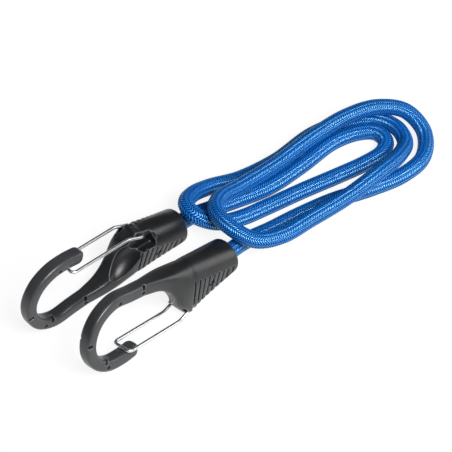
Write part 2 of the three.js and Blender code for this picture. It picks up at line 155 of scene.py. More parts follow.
# Middle of the arm round the end of the eye
EYE_TURN = [(85, -19.8), (95.2, -15.8), (100.8, -8.4), (102.4, 1.4), (98.6, 10.8), (90.8, 16.7), (81, 18.7)]
# Hollows of the nose
POCKET = [(27.4, 17.6), (25.2, 12.5), (23.8, 8), (23.6, 4.8), (36.5, 3.7), (42, 11.6)]
POCKET_LIP = (33, 16.2)
POCKET_END_U = 52  # past the nose's end
LEG_SPARE = 4  # room under a leg that is swung in
WELL = [(24.6, 10.6), (23.9, 5.2), (35.5, 4.2), (38.5, 9), (34, 10.6)]  # the pocket's deep part
WELL_FLOOR = -0.5
POCKET_REAR = (4, 8, 5)  # hollow in the pocket's rear wall
POCKET_REAR_AT = (25, 15, -10.5)
SCOOP = (13.5, 7.2, 8.4)
SCOOP_TURN = math.radians(45)
SCOOP_AT = (43, 1)
# Ribs: grooves over the gate's half of one face and the spine's half of the other, on a slanting facet
RIB_COUNT = 9
RIB_PITCH = 3.55
RIB_FROM_U = 4.5
GROOVE_W = 1.3
GROOVE_DEPTH = 1.2
RIB_START = -0.8
RIB_SLANT = 0.2
RIB_STOP = 7.5  # how far over the hook's middle the first groove ends, and the last goes down to the middle
RIB_EDGE = 1.6  # face left between the grooves' ends and the spine's edge
# Mould-pin marks: share of the arm's length, face, place across the arm and length
MARK_W = 2
MARK_DEPTH = 3.6
SLOT_L = 2.8
SLOT_OFF = 1.9
DOT_OFF = 1.1
MARKS = [
    (0.02, 1, -SLOT_OFF, SLOT_L), (0.02, 1, DOT_OFF, MARK_W), (0.2, 1, DOT_OFF, MARK_W),
    (0.5, 1, -SLOT_OFF, SLOT_L), (0.72, 1, SLOT_OFF, SLOT_L), (0.76, 1, -DOT_OFF, MARK_W),
    (0.02, -1, SLOT_OFF, SLOT_L), (0.02, -1, -DOT_OFF, MARK_W), (0.27, -1, SLOT_OFF, SLOT_L),
    (0.31, -1, -DOT_OFF, MARK_W), (0.47, -1, -SLOT_OFF, SLOT_L), (0.82, -1, DOT_OFF, MARK_W),
]
PALE_FROM_U = 46  # the arm is a paler black than the grip, from here on
PALE_FULL_U = 74
MOULD_GRID = 0.35  # how finely the moulding is cut before its edges are rounded
ROUNDING_PULL = 0.5
MOULD_ROUNDING = 2
EDGE_PROBE_ROUNDING = 9  # the same rounding, carried further, to find the edges
EDGE_PALING = (0.012, 0.09)  # from where an edge begins to grey to where it is grey

# How finely the curves and round shapes are cut
ROUTE_CUTS = 60
GRIP_CUTS = 10
RIM_CUTS = 6
ARM_CUTS = 40
ARM_STEP = 0.8
BEND_CUTS = 12
WIRE_STEP = 0.3
RUBBER_STRIDE = 3  # the rubber's line takes every third point of the cord's
BODY_SIDES = 96
SCOOP_SIDES = 64
POCKET_SIDES = 48
ROD_SIDES = 48
WIRE_SIDES = 20
RUBBER_SIDES = 16
FLOOR_CUTS = 8
SEAM = 1e-5  # how near two points are to be one


def flow(points, per_gap):
    """Points along one smooth curve through the points given, with an even pull at each."""
    rows = [Vector(point) for point in points]
    rows = [rows[0] * 2 - rows[1]] + rows + [rows[-1] * 2 - rows[-2]]
    made = []
    for before, start, end, after in zip(rows, rows[1:], rows[2:], rows[3:]):
        gap_in = math.sqrt((start - before).length)
        gap = math.sqrt((end - start).length)
        gap_out = math.sqrt((after - end).length)
        leave = ((start - before) / gap_in - (end - before) / (gap_in + gap) + (end - start) / gap) * gap
        arrive = ((end - start) / gap - (after - start) / (gap + gap_out) + (after - end) / gap_out) * gap
        bend = (end - start) * 3 - leave * 2 - arrive
        twist = (start - end) * 2 + leave + arrive
        for step in range(per_gap):
            share = step / per_gap
            made.append(start + leave * share + bend * share**2 + twist * share**3)
    made.append(rows[-2])
    return made


def evened(points, step):
    """The same line, with points about one step apart all along."""
    reach = [0]
    for start, end in zip(points, points[1:]):
        reach.append(reach[-1] + (end - start).length)
    count = round(reach[-1] / step)
    made = []
    at = 0
    for k in range(count + 1):
        want = reach[-1] * k / count
        while at < len(points) - 2 and reach[at + 1] < want:
            at += 1
        share = (want - reach[at]) / (reach[at + 1] - reach[at])
        made.append(points[at].lerp(points[at + 1], share))
    return made


def carried(points):
    """The way on and two sides square to it at each point of a line, turned as little as can be."""
    ways = []
    for k in range(len(points)):
        ways.append((points[min(k + 1, len(points) - 1)] - points[max(k - 1, 0)]).normalized())
    side = ways[0].orthogonal().normalized()
    sides = [side]
    for before, after in zip(ways, ways[1:]):
        side = before.rotation_difference(after) @ side
        sides.append(side)
    return [(way, side, way.cross(side)) for way, side in zip(ways, sides)]


def outward(side, over, turn):
    """The way out from a line, at a share of the way round it."""
    return side * math.cos(turn * math.tau) + over * math.sin(turn * math.tau)


def rolled(rows, sides, spot):
    """A flat grid rolled up into a closed skin. spot gives the place for a row and a share of a turn."""
    sheet = bmesh.new()
    sheet.loops.layers.uv.new("wrap")
    bmesh.ops.create_grid(sheet, x_segments=rows - 1, y_segments=sides, size=0.5, calc_uvs=True)
    low = min(vert.co.x for vert in sheet.verts)
    span = max(vert.co.x for vert in sheet.verts) - low
    for vert in sheet.verts:
        row = round((vert.co.x - low) / span * (rows - 1))
        turn = round((vert.co.y - low) / span * sides) % sides / sides
        vert.co = spot(row, turn)
    bmesh.ops.remove_doubles(sheet, verts=sheet.verts, dist=SEAM)
    bmesh.ops.holes_fill(sheet, edges=[edge for edge in sheet.edges if edge.is_boundary], sides=0)
    bmesh.ops.recalc_face_normals(sheet, faces=sheet.faces)
    return sheet


def piece(shape, name):
    """A new object from a modelled shape, smooth all over."""
    mesh = bpy.data.meshes.new(name)
    shape.to_mesh(mesh)
    shape.free()
    mesh.shade_smooth()
    made = bpy.data.objects.new(name, mesh)
    scene.collection.objects.link(made)
    return made


def hook_lie(yaw, pitch, roll, face, pivot):
    """The hook's frame on the floor, for shapes in millimetres, from its lie and its gate's pivot."""
    yaw, pitch, roll = (math.radians(angle) for angle in (yaw, pitch, roll))
    along = Vector((math.cos(yaw) * math.cos(pitch), math.sin(yaw) * math.cos(pitch), math.sin(pitch)))
    side = Vector((-math.sin(yaw), math.cos(yaw), 0))
    across = (along.cross(side) * math.cos(roll) + side * math.sin(roll)) * face
    gateward = across.cross(along)
    start = Vector(pivot) - (along * PIVOT[0] + gateward * PIVOT[1]) * MM
    turn = Matrix((along, gateward, across)).transposed().to_4x4()
    return Matrix.Translation(start) @ turn @ Matrix.Scale(MM, 4)


near_swing, far_swing = (joint["pos_m"] for joint in frame["joints"])
near_lie = hook_lie(**NEAR_LIE, pivot=near_swing)
far_lie = hook_lie(**FAR_LIE, pivot=far_swing)

# The cord, from the bottom of one collar to the bottom of the other, with two rows of points to a stitch
cord_points = [near_lie @ Vector((u, 0, 0)) for u in (SOCKET_SEAT, 0, -LEAD)]
cord_points += [LAY + Vector(point) * MM for point in ROUTE]
cord_points += [far_lie @ Vector((u, 0, 0)) for u in (-LEAD, 0, SOCKET_SEAT)]
cord_line = evened(flow(cord_points, ROUTE_CUTS), STITCH_PITCH * MM / 2)
cord_ways = carried(cord_line)
rubber_line = cord_line[::RUBBER_STRIDE]
rubber_ways = carried(rubber_line)
zigzag = math.tan(STITCH_SLANT) * math.pi * CORD_R / STITCH_COLUMNS


def braid_spot(row, turn):
    """A point of the braid: on a stitch in one row and between stitches in the next."""
    way, side, over = cord_ways[row]
    slant = 1 - 2 * abs((turn * STITCH_COLUMNS) % 2 - 1)
    from_edge = abs((turn * STITCH_COLUMNS + 0.5) % 1 - 0.5) * 2
    radius = CREST_R - STITCH_DIP * (row % 2) - COLUMN_DIP * (1 - from_edge)
    place = cord_line[row] + (way * slant * zigzag + outward(side, over, turn) * radius) * MM
    place.z = max(place.z, 0)  # pressed flat where it lies on the floor
    return place


def rubber_spot(row, turn):
    way, side, over = rubber_ways[row]
    return rubber_line[row] + outward(side, over, turn) * RUBBER_R * MM


braid = piece(rolled(len(cord_line), STITCH_COLUMNS * COLUMN_CUTS, braid_spot), "braided_cord")
rubber = piece(rolled(len(rubber_line), RUBBER_SIDES, rubber_spot), "rubber_core")
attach(braid, "cord_and_hooks")
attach(rubber, "cord_and_hooks")
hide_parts("cord_sheath")
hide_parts("cord_core")

# Hook body: a skin over sections of the hook. Each has the place of its spine side and of its gate side,
# half a thickness, how square its gate half and its spine half are, and how much the ribs' facet falls
SPINE_SLOPE = (SPINE_OUT + ARM_H - COLLAR_R) / SPINE_END_U


def mid(start, end, share=0.5):
    return start + (end - start) * share


def spine_v(u):
    """Where the straight line of the spine's outside is."""
    return -COLLAR_R - SPINE_SLOPE * u


def spine_mid(u):
    return (u, spine_v(u) + ARM_H, 0)


arm_points = [spine_mid(ARM_FROM_U), spine_mid(mid(ARM_FROM_U, SPINE_END_U))]
arm_points += [(u, v, 0) for u, v in EYE_TURN] + [(TIP_U, TIP_OUT - TIP_DROOP, 0)]
arm_line = evened(flow(arm_points, ARM_CUTS), ARM_STEP)
arm_ways = [way for way, side, over in carried(arm_line)]
arm_last = len(arm_line) - 1


def arm_sections():
    """Sections along the arm, slimmer round the eye and rounded off at the tip."""
    sections = []
    length = ARM_STEP * arm_last
    for k, (middle, way) in enumerate(zip(arm_line, arm_ways)):
        left = length * (1 - k / arm_last)
        size = ARM_H
        if left < ARM_H:
            size *= math.sqrt(1 - TIP_ROUND * (1 - left / ARM_H) ** 2)
        reach = size - ARM_SLIM * math.sin(math.pi * k / arm_last) ** 2
        sections.append(Vector((
            middle.x + way.y * size, middle.y - way.x * size,
            middle.x - way.y * reach, middle.y + way.x * reach, size, ARM_SQUARE, ARM_SQUARE, 0,
        )))
    return sections


def grip_sections(inset):
    """Sections of the collar's rim, and of the grip and the throat, all smaller by an inset."""
    def station(spine_u, spine, gate_u, gate, half, square, spine_square, facet=0):
        sides = (spine_u, spine + inset, gate_u, gate - inset)
        return Vector((*sides, half - inset, square, spine_square, facet))

    rim = []
    for k in range(RIM_CUTS):
        angle = math.pi / 2 * k / RIM_CUTS
        u = RIM_ROUND * (1 - math.cos(angle))
        radius = COLLAR_R - RIM_ROUND * (1 - math.sin(angle))
        rim.append(station(u, -radius, u, radius, radius, ROUND, ROUND))
    grip = [station(RIM_ROUND, -COLLAR_R, RIM_ROUND, COLLAR_R, COLLAR_R, ROUND, ROUND)]
    for share, facet in GRIP:
        u = GRIP_U * share
        high = mid(COLLAR_R, GRIP_GATE, share)
        low = -mid(COLLAR_R, GRIP_SPINE, share)
        thick = mid(COLLAR_R, CHEEK_T, share**2 * NOSE_LEAD)
        square = mid(ROUND, NOSE_SQUARE, share**2)
        spine_square = mid(ROUND, GRIP_SQUARE, share**2)
        grip.append(station(u, low, u, high, thick, square, spine_square, facet))
    for spine_u, gate_u, gate, half, square, facet in THROAT:
        spine_square = mid(ARM_SQUARE, GRIP_SQUARE, (half - ARM_H) / (CHEEK_T - ARM_H))
        grip.append(station(spine_u, spine_v(spine_u), gate_u, gate, half, square, spine_square, facet))
    return rim, grip


def skin(sections):
    """A closed skin over the sections, with the ribs' slanting facet on each face."""
    def spot(row, turn):
        spine_u, spine, gate_u, gate, half, square, spine_square, facet = sections[row]
        cosine = math.cos(turn * math.tau)
        sine = math.sin(turn * math.tau)
        power = 2 / (spine_square if cosine < 0 else square)
        over = math.copysign(abs(cosine) ** power, cosine)
        up = math.copysign(abs(sine) ** power, sine)
        u = mid(spine_u, gate_u) + (gate_u - spine_u) / 2 * over
        v = mid(spine, gate) + (gate - spine) / 2 * over
        face = math.copysign(1, sine)
        lid = half - facet * max(0, face * v + RIB_START + RIB_SLANT * u)
        return Vector((u, v, face * min(half * abs(up), lid)))

    return rolled(len(sections), BODY_SIDES, spot)


def slab(outline, low, high):
    """A flat outline of the hook's plane, from one height over it to another."""
    block = bmesh.new()
    face = block.faces.new([block.verts.new((u, v, low)) for u, v in outline])
    pushed = bmesh.ops.extrude_face_region(block, geom=[face])
    top = [item for item in pushed["geom"] if isinstance(item, bmesh.types.BMVert)]
    bmesh.ops.translate(block, verts=top, vec=(0, 0, high - low))
    bmesh.ops.recalc_face_normals(block, faces=block.faces)
    return block


def rod(radius, length, way, middle):
    """A round rod through a point."""
    block = bmesh.new()
    turn = Vector((0, 0, 1)).rotation_difference(Vector(way)).to_matrix().to_4x4()
    bmesh.ops.create_cone(
        block, cap_ends=True, segments=ROD_SIDES, radius1=radius, radius2=radius, depth=length,
        matrix=Matrix.Translation(middle) @ turn,
    )
    return block


def egg(sizes, middle, turn, sides):
    """A ball of three half sizes, turned in the hook's plane."""
    block = bmesh.new()
    shape = Matrix.Rotation(turn, 4, "Z") @ Matrix.Diagonal((*sizes, 1))
    bmesh.ops.create_uvsphere(
        block, u_segments=sides, v_segments=sides // 2, radius=1, matrix=Matrix.Translation(middle) @ shape,
    )
    return block


def rib_grooves():
    """Boxes between the grip's ribs, over the gate's half of one face and the spine's half of the other."""
    block = bmesh.new()
    wide = 2 * (COLLAR_R + NOSE_GATE)
    for k in range(RIB_COUNT):
        u = RIB_FROM_U + k * RIB_PITCH
        start = RIB_START + RIB_SLANT * u
        stop = RIB_STOP * (1 - k / (RIB_COUNT - 1)) + FIT
        spine_reach = mid(COLLAR_R, GRIP_SPINE, u / GRIP_U) - RIB_EDGE + start
        for side, reach in ((1, wide), (-1, spine_reach)):
            middle = (u, side * (reach / 2 - start), side * (wide / 2 + stop))
            size = Matrix.Diagonal((GROOVE_W, reach, wide, 1))
            bmesh.ops.create_cube(block, size=1, matrix=Matrix.Translation(middle) @ size)
    return block


def mould_marks():
    """Boxes for the slots and dots that the mould's pins leave along the arm."""
    block = bmesh.new()
    for share, face, off, length in MARKS:
        middle = arm_line[round(share * arm_last)]
        way = arm_ways[round(share * arm_last)]
        lie = Matrix.Translation(middle) @ Matrix.Rotation(math.atan2(way.y, way.x), 4, "Z")
        seat = Matrix.Translation((0, off, face * ARM_H))
        size = Matrix.Diagonal((MARK_W, length, 2 * MARK_DEPTH, 1))
        bmesh.ops.create_cube(block, size=1, matrix=lie @ seat @ size)
    return block


def cut(body, tools):
    """Takes the tools' shapes out of a body."""
    for tool in tools:
        step = body.modifiers.new(tool.name, "BOOLEAN")
        step.operation = "DIFFERENCE"
        step.solver = "MANIFOLD"
        step.object = tool


def settled(made):
    """The mesh that an object's modifiers give."""
    return bpy.data.meshes.new_from_object(made.evaluated_get(bpy.context.evaluated_depsgraph_get()))


rim, grip = grip_sections(0)
arm = arm_sections()
body = piece(skin(rim + flow(grip + arm[:1], GRIP_CUTS)[:-1] + arm), "hook_body")
# The grooves go as deep as a smaller grip inside the first
inner_rim, inner_grip = grip_sections(GROOVE_DEPTH)
inner = piece(skin(inner_rim + flow(inner_grip, GRIP_CUTS)), "under_the_ribs")
grooves = piece(rib_grooves(), "rib_grooves")
cut(grooves, [inner])

# Tools that cut the moulding. Where one comes out of it, it goes well past
beyond = 2 * NOSE_GATE
past_face = 2 * COLLAR_R
leg_low = JOG[1] - (JOG[0] - PIVOT[0]) * math.tan(SWING) - 2 * LEG_ROOM
leg_back = PIVOT[0] - 2 * LEG_ROOM
open_end = [(POCKET_END_U, leg_low - LEG_SPARE), (POCKET_END_U, beyond)]
pocket = POCKET + open_end + [(POCKET_LIP[0] + LEG_ROOM, beyond), POCKET_LIP]
leg_slot = [(leg_back, PIVOT[1] - LEG_ROOM), (JOG[0], leg_low)] + open_end + [(leg_back, beyond)]
socket_middle = ((SOCKET_DEPTH - COLLAR_R) / 2, 0, 0)
socket = rod(CORD_R + FIT, SOCKET_DEPTH + COLLAR_R, (1, 0, 0), socket_middle)
pin_way = (0, math.cos(PIN_TILT), math.sin(PIN_TILT))
tools = [
    grooves,
    piece(socket, "socket"),
    piece(rod(PIN_HOLE_R, 3 * past_face, pin_way, (PIN_AT, 0, 0)), "pin_hole"),
    piece(slab(pocket, -past_face, -TONGUE_T), "pocket"),
    piece(slab(leg_slot, TONGUE_T, GATE_HALF + LEG_ROOM), "leg_slot"),
    piece(rod(LEG_ROOM, 3 * TONGUE_T, (0, 0, 1), (*PIVOT, 0)), "pivot_hole"),
    piece(egg(SCOOP, (*SCOOP_AT, -NOSE_T), -SCOOP_TURN, SCOOP_SIDES), "scoop"),
    piece(slab(WELL, -past_face, WELL_FLOOR), "well"),
    piece(egg(POCKET_REAR, POCKET_REAR_AT, 0, POCKET_SIDES), "pocket_rear"),
    piece(mould_marks(), "mould_marks"),
]
cut(body, tools)
even_skin = body.modifiers.new("even_skin", "REMESH")
even_skin.mode = "VOXEL"
even_skin.voxel_size = MOULD_GRID
rounding = body.modifiers.new("rounding", "SMOOTH")
rounding.factor = ROUNDING_PULL
rounding.iterations = MOULD_ROUNDING
moulding = settled(body)
moulding.shade_smooth()
# How far each point is along to the arm's paler black, and how far more rounding would take it in, which is
# most at the edges
rounding.iterations = EDGE_PROBE_ROUNDING
rounded_further = settled(body)
arm_share = moulding.attributes.new("arm_share", "FLOAT", "POINT")
edge_sharpness = moulding.attributes.new("edge_sharpness", "FLOAT", "POINT")
for k, (vert, smoother_vert) in enumerate(zip(moulding.vertices, rounded_further.vertices)):
    arm_share.data[k].value = min(1, max(0, (vert.co.x - PALE_FROM_U) / (PALE_FULL_U - PALE_FROM_U)))
    edge_sharpness.data[k].value = (vert.co - smoother_vert.co).dot(vert.normal)
for made in (body, inner, *tools):
    bpy.data.objects.remove(made)


def gate_line():
    """The middle of the gate's wire: stub, leg, crossbar, leg, stub, with rounded bends."""
    bar_v = TIP_OUT - TIP_DROOP / 2 - ARM_H - LEG_ROOM
    leg = [(*PIVOT, STUB_END), (*PIVOT, GATE_HALF), (*JOG, GATE_HALF), (BAR_U, bar_v, GATE_HALF)]
    corners = [Vector(corner) for corner in leg + [(u, v, -w) for u, v, w in reversed(leg)]]
    line = [corners[0]]
    for before, corner, after in zip(corners, corners[1:], corners[2:]):
        bend = BAR_BEND if corner.x == BAR_U else WIRE_BEND
        start = corner + (before - corner).normalized() * bend
        end = corner + (after - corner).normalized() * bend
        for step in range(BEND_CUTS + 1):
            share = step / BEND_CUTS
            line.append(start.lerp(corner, share).lerp(corner.lerp(end, share), share))
    line.append(corners[-1])
    return evened(line, WIRE_STEP)


wire_line = gate_line()
wire_ways = carried(wire_line)


def wire_spot(row, turn):
    """A point of the wire, whose ends are rounded off a little."""
    way, side, over = wire_ways[row]
    from_end = min(row, len(wire_line) - 1 - row) * WIRE_STEP
    radius = WIRE_R * math.sqrt(1 - max(0, 1 - from_end / WIRE_END) ** 2 * WIRE_END_LOSS)
    return wire_line[row] + outward(side, over, turn) * radius


gate = piece(rolled(len(wire_line), WIRE_SIDES, wire_spot), "gate_wire")
hooks = {}
for name, lie in (("near", near_lie), ("far", far_lie)):
    mesh = moulding.copy()
    mesh.transform(lie)
    for vert in mesh.vertices:
        vert.co.z = max(vert.co.z, 0)  # a flat rubbed where it rests on the floor
    hook = bpy.data.objects.new(f"{name}_hook", mesh)
    scene.collection.objects.link(hook)
    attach(hook, "cord_and_hooks")
    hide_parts(f"{name}_hook_body")
    wire_mesh = gate.data.copy()
    wire_mesh.transform(lie)
    wire = bpy.data.objects.new(f"{name}_gate_wire", wire_mesh)
    scene.collection.objects.link(wire)
    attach(wire, f"{name}_gate")
    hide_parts(f"{name}_wire_gate")
    hooks[name] = (hook, wire)
bpy.data.objects.remove(gate)


# Materials
def hue(code):
    """A colour written as sRGB hex, as the linear colour that a socket takes."""
    shares = [int(code[k : k + 2], 16) / 255 for k in (1, 3, 5)]
    linear = [share / 12.92 if share <= 0.04045 else ((share + 0.055) / 1.055) ** 2.4 for share in shares]
    return (*linear, 1)


def add(tree, kind, settings=None, links=None, stops=()):
    """A node with its settings, its sockets set or linked, and its colour stops where it has some."""
    node = tree.nodes.new(kind)
    for key, value in (settings or {}).items():
        setattr(node, key, value)
    for key, value in (links or {}).items():
        if isinstance(value, bpy.types.NodeSocket):
            tree.links.new(value, node.inputs[key])
        else:
            node.inputs[key].default_value = value
    for k, (place, code) in enumerate(stops):
        if k >= len(node.color_ramp.elements):
            node.color_ramp.elements.new(place)
        node.color_ramp.elements[k].position = place
        node.color_ramp.elements[k].color = hue(code)
    return node


def bare(name):
    """A new material with no nodes, and its node tree."""
    material = bpy.data.materials.new(name)
    material.use_nodes = True
    material.node_tree.nodes.clear()
    return material, material.node_tree


# Sockets of a Mix node for colours, whose names repeat
MIX_FROM = 6
MIX_TO = 7
MIXED = 2

# Braided polyester yarn, woven tight over the rubber: each stitch is a short bundle of straight filaments,
# glossy on its crown. Its colour is painted light on the crown and painted shade, near navy, in the gaps.
# Many filaments side by side shine more than one smooth face of polyester, so the IOR is over its own 1.6.
FILAMENT = 0.3  # real filaments are a tenth of this, too fine to show
FILAMENT_DEPTH = 0.06
STITCH_RELIEF = 0.2
SHADE_DRIFT = 22  # how far apart the yarn's paler and darker stretches lie along the cord
SHADE_ROUND = 4  # and how many there are round it
YARN_IOR = 2.7
yarn, tree = bare("braided_polyester_yarn")
wrap = add(tree, "ShaderNodeUVMap", {"uv_map": "wrap"})
stitch_count = ((len(cord_line) - 1) / 2, STITCH_COLUMNS, 1)
stitch_place = add(tree, "ShaderNodeMapping", links={"Vector": wrap.outputs["UV"], "Scale": stitch_count})
along_round = add(tree, "ShaderNodeSeparateXYZ", links={"Vector": stitch_place.outputs["Vector"]})
stitch_turn = add(tree, "ShaderNodeMath", {"operation": "MULTIPLY"}, {
    0: along_round.outputs["X"], 1: math.tau,
})
stitch_wave = add(tree, "ShaderNodeMath", {"operation": "COSINE"}, {0: stitch_turn.outputs[0]})
column_turn = add(tree, "ShaderNodeMath", {"operation": "MULTIPLY"}, {
    0: along_round.outputs["Y"], 1: math.pi,
})
column_sine = add(tree, "ShaderNodeMath", {"operation": "SINE"}, {0: column_turn.outputs[0]})
column_wave = add(tree, "ShaderNodeMath", {"operation": "ABSOLUTE"}, {0: column_sine.outputs[0]})
stitch_rise = add(tree, "ShaderNodeMapRange", links={"Value": stitch_wave.outputs[0], "From Min": -1})
column_rise = add(tree, "ShaderNodeMapRange", links={"Value": column_wave.outputs[0], "To Min": 0.4})
crown = add(tree, "ShaderNodeMath", {"operation": "MULTIPLY"}, {
    0: stitch_rise.outputs["Result"], 1: column_rise.outputs["Result"],
})
# Painted shade and light: near navy in the gaps between stitches and columns, bright on the crowns
yarn_shaded_stops = [(0, "#021c48"), (0.35, "#0450a8"), (0.9, "#0e86e6")]
yarn_shaded_color = add(tree, "ShaderNodeValToRGB", links={"Fac": crown.outputs[0]}, stops=yarn_shaded_stops)
drift_count = (CORD_LENGTH / MM / SHADE_DRIFT, SHADE_ROUND, 1)
drift_place = add(tree, "ShaderNodeMapping", links={"Vector": wrap.outputs["UV"], "Scale": drift_count})
drift = add(tree, "ShaderNodeTexNoise", links={
    "Vector": drift_place.outputs["Vector"], "Scale": 1, "Detail": 3,
})
stitch_shade = add(tree, "ShaderNodeTexNoise", links={
    "Vector": stitch_place.outputs["Vector"], "Scale": 1, "Detail": 1,
})
shade = add(tree, "ShaderNodeMath", {"operation": "ADD"}, {
    0: drift.outputs["Fac"], 1: stitch_shade.outputs["Fac"],
})
shade_level = add(tree, "ShaderNodeMapRange", links={
    "Value": shade.outputs[0], "From Min": 0.6, "From Max": 1.4, "To Min": 0.78, "To Max": 1.22,
})
tinted = add(tree, "ShaderNodeHueSaturation", links={
    "Color": yarn_shaded_color.outputs["Color"], "Value": shade_level.outputs["Result"],
})
filament_count = (stitch_count[0], math.tau * CORD_R / FILAMENT, 1)
filament_place = add(tree, "ShaderNodeMapping", links={"Vector": wrap.outputs["UV"], "Scale": filament_count})
filament = add(tree, "ShaderNodeTexNoise", links={
    "Vector": filament_place.outputs["Vector"], "Scale": 1, "Detail": 2,
})
stitch_bump = add(tree, "ShaderNodeBump", links={"Height": crown.outputs[0], "Distance": STITCH_RELIEF * MM})
filament_bump = add(tree, "ShaderNodeBump", links={
    "Height": filament.outputs["Fac"], "Strength": 0.5, "Distance": FILAMENT_DEPTH * MM,
    "Normal": stitch_bump.outputs["Normal"],
})
sleek = add(tree, "ShaderNodeMath", {"operation": "MULTIPLY_ADD"}, {
    0: filament.outputs["Fac"], 1: -0.3, 2: crown.outputs[0],
})
yarn_gloss = add(tree, "ShaderNodeMapRange", links={
    "Value": sleek.outputs[0], "From Min": -0.1, "From Max": 0.7, "To Min": 0.5, "To Max": 0.27,
})
yarn_shine = add(tree, "ShaderNodeMapRange", links={
    "Value": crown.outputs[0], "From Min": 0.25, "From Max": 1, "To Min": 0.03, "To Max": 1,
})
yarn_face = add(tree, "ShaderNodeBsdfPrincipled", links={
    "Base Color": tinted.outputs["Color"], "Roughness": yarn_gloss.outputs["Result"], "IOR": YARN_IOR,
    "Specular IOR Level": yarn_shine.outputs["Result"], "Specular Tint": hue("#9ce0ff"),
    "Normal": filament_bump.outputs["Normal"],
})
add(tree, "ShaderNodeOutputMaterial", links={"Surface": yarn_face.outputs["BSDF"]})

# Injection-moulded black nylon: a fine mould grain breaks its gloss, the arm is a paler black than the grip,
# and the edges are grey, partly rubbed and partly a painted highlight where they catch the light.
MOULD_GRAIN = 0.5  # the real grain is half of this, too fine to show
GRAIN_DEPTH = 0.04
MOULD_CLOUD = 16  # how far apart the glossier and duller stretches lie
NYLON_IOR = 1.53
nylon, tree = bare("moulded_black_nylon")
spot_of = add(tree, "ShaderNodeTexCoord")
grain = add(tree, "ShaderNodeTexNoise", links={
    "Vector": spot_of.outputs["Object"], "Scale": 1 / (MOULD_GRAIN * MM), "Detail": 2,
})
cloud = add(tree, "ShaderNodeTexNoise", links={
    "Vector": spot_of.outputs["Object"], "Scale": 1 / (MOULD_CLOUD * MM), "Detail": 4,
})
nylon_stops = [(0.3, "#141517"), (0.7, "#1e1f21")]
nylon_color = add(tree, "ShaderNodeValToRGB", links={"Fac": cloud.outputs["Fac"]}, stops=nylon_stops)
pale_stops = [(0.3, "#2c2e30"), (0.7, "#3a3c3f")]
pale_color = add(tree, "ShaderNodeValToRGB", links={"Fac": cloud.outputs["Fac"]}, stops=pale_stops)
arm_share_read = add(tree, "ShaderNodeAttribute", {"attribute_name": "arm_share"})
grip_to_arm_color = add(tree, "ShaderNodeMix", {"data_type": "RGBA"}, {
    "Factor": arm_share_read.outputs["Fac"],
    MIX_FROM: nylon_color.outputs["Color"], MIX_TO: pale_color.outputs["Color"],
})
# Sharp edges turn grey: partly real wear, partly a painted highlight
edge = add(tree, "ShaderNodeAttribute", {"attribute_name": "edge_sharpness"})
edge_wear_and_glint = add(tree, "ShaderNodeMapRange", links={
    "Value": edge.outputs["Fac"], "From Min": EDGE_PALING[0], "From Max": EDGE_PALING[1], "To Max": 0.85,
})
worn_and_glinting = add(tree, "ShaderNodeMix", {"data_type": "RGBA"}, {
    "Factor": edge_wear_and_glint.outputs["Result"], MIX_FROM: grip_to_arm_color.outputs[MIXED], MIX_TO: hue("#606367"),
})
nylon_gloss = add(tree, "ShaderNodeMapRange", links={
    "Value": cloud.outputs["Fac"], "To Min": 0.27, "To Max": 0.42,
})
grain_bump = add(tree, "ShaderNodeBump", links={
    "Height": grain.outputs["Fac"], "Strength": 0.25, "Distance": GRAIN_DEPTH * MM,
})
nylon_face = add(tree, "ShaderNodeBsdfPrincipled", links={
    "Base Color": worn_and_glinting.outputs[MIXED], "Roughness": nylon_gloss.outputs["Result"], "IOR": NYLON_IOR,
    "Normal": grain_bump.outputs["Normal"],
})
add(tree, "ShaderNodeOutputMaterial", links={"Surface": nylon_face.outputs["BSDF"]})

# Nickel-plated spring wire: bright, with faint drawing lines along it and a little haze.
LINES = (6, 30, 1)  # along and round the wire: about 20 mm long and 0.2 mm apart
LINE_DEPTH = 0.01
plated, tree = bare("nickel_plated_spring_wire")
wrap = add(tree, "ShaderNodeUVMap", {"uv_map": "wrap"})
line_place = add(tree, "ShaderNodeMapping", links={"Vector": wrap.outputs["UV"], "Scale": LINES})
lines = add(tree, "ShaderNodeTexNoise", links={
    "Vector": line_place.outputs["Vector"], "Scale": 1, "Detail": 3,
})
plate_stops = [(0.3, "#cfd2d5"), (0.7, "#eceeef")]
plate_color = add(tree, "ShaderNodeValToRGB", links={"Fac": lines.outputs["Fac"]}, stops=plate_stops)
plate_gloss = add(tree, "ShaderNodeMapRange", links={
    "Value": lines.outputs["Fac"], "To Min": 0.26, "To Max": 0.4,
})
line_bump = add(tree, "ShaderNodeBump", links={
    "Height": lines.outputs["Fac"], "Strength": 0.1, "Distance": LINE_DEPTH * MM,
})
plate_face = add(tree, "ShaderNodeBsdfPrincipled", links={
    "Base Color": plate_color.outputs["Color"], "Metallic": 1, "Roughness": plate_gloss.outputs["Result"],
    "Normal": line_bump.outputs["Normal"],
})
add(tree, "ShaderNodeOutputMaterial", links={"Surface": plate_face.outputs["BSDF"]})

# Drawn mild steel: a dark grey metal with a fine mottle, its darkness a painted shade for the pin's end sunk
# in its hole.
STEEL_MOTTLE = 0.8
drawn, tree = bare("drawn_mild_steel")
spot_of = add(tree, "ShaderNodeTexCoord")
mottle = add(tree, "ShaderNodeTexNoise", links={
    "Vector": spot_of.outputs["Object"], "Scale": 1 / (STEEL_MOTTLE * MM), "Detail": 3,
})
# Painted shade: the steel is darkened so that the pin's end reads dark in its hole
steel_shaded_stops = [(0.3, "#44474b"), (0.7, "#63666a")]
steel_shaded_color = add(tree, "ShaderNodeValToRGB", links={"Fac": mottle.outputs["Fac"]}, stops=steel_shaded_stops)
steel_gloss = add(tree, "ShaderNodeMapRange", links={
    "Value": mottle.outputs["Fac"], "To Min": 0.22, "To Max": 0.42,
})
steel_face = add(tree, "ShaderNodeBsdfPrincipled", links={
    "Base Color": steel_shaded_color.outputs["Color"], "Metallic": 1, "Roughness": steel_gloss.outputs["Result"],
})
add(tree, "ShaderNodeOutputMaterial", links={"Surface": steel_face.outputs["BSDF"]})

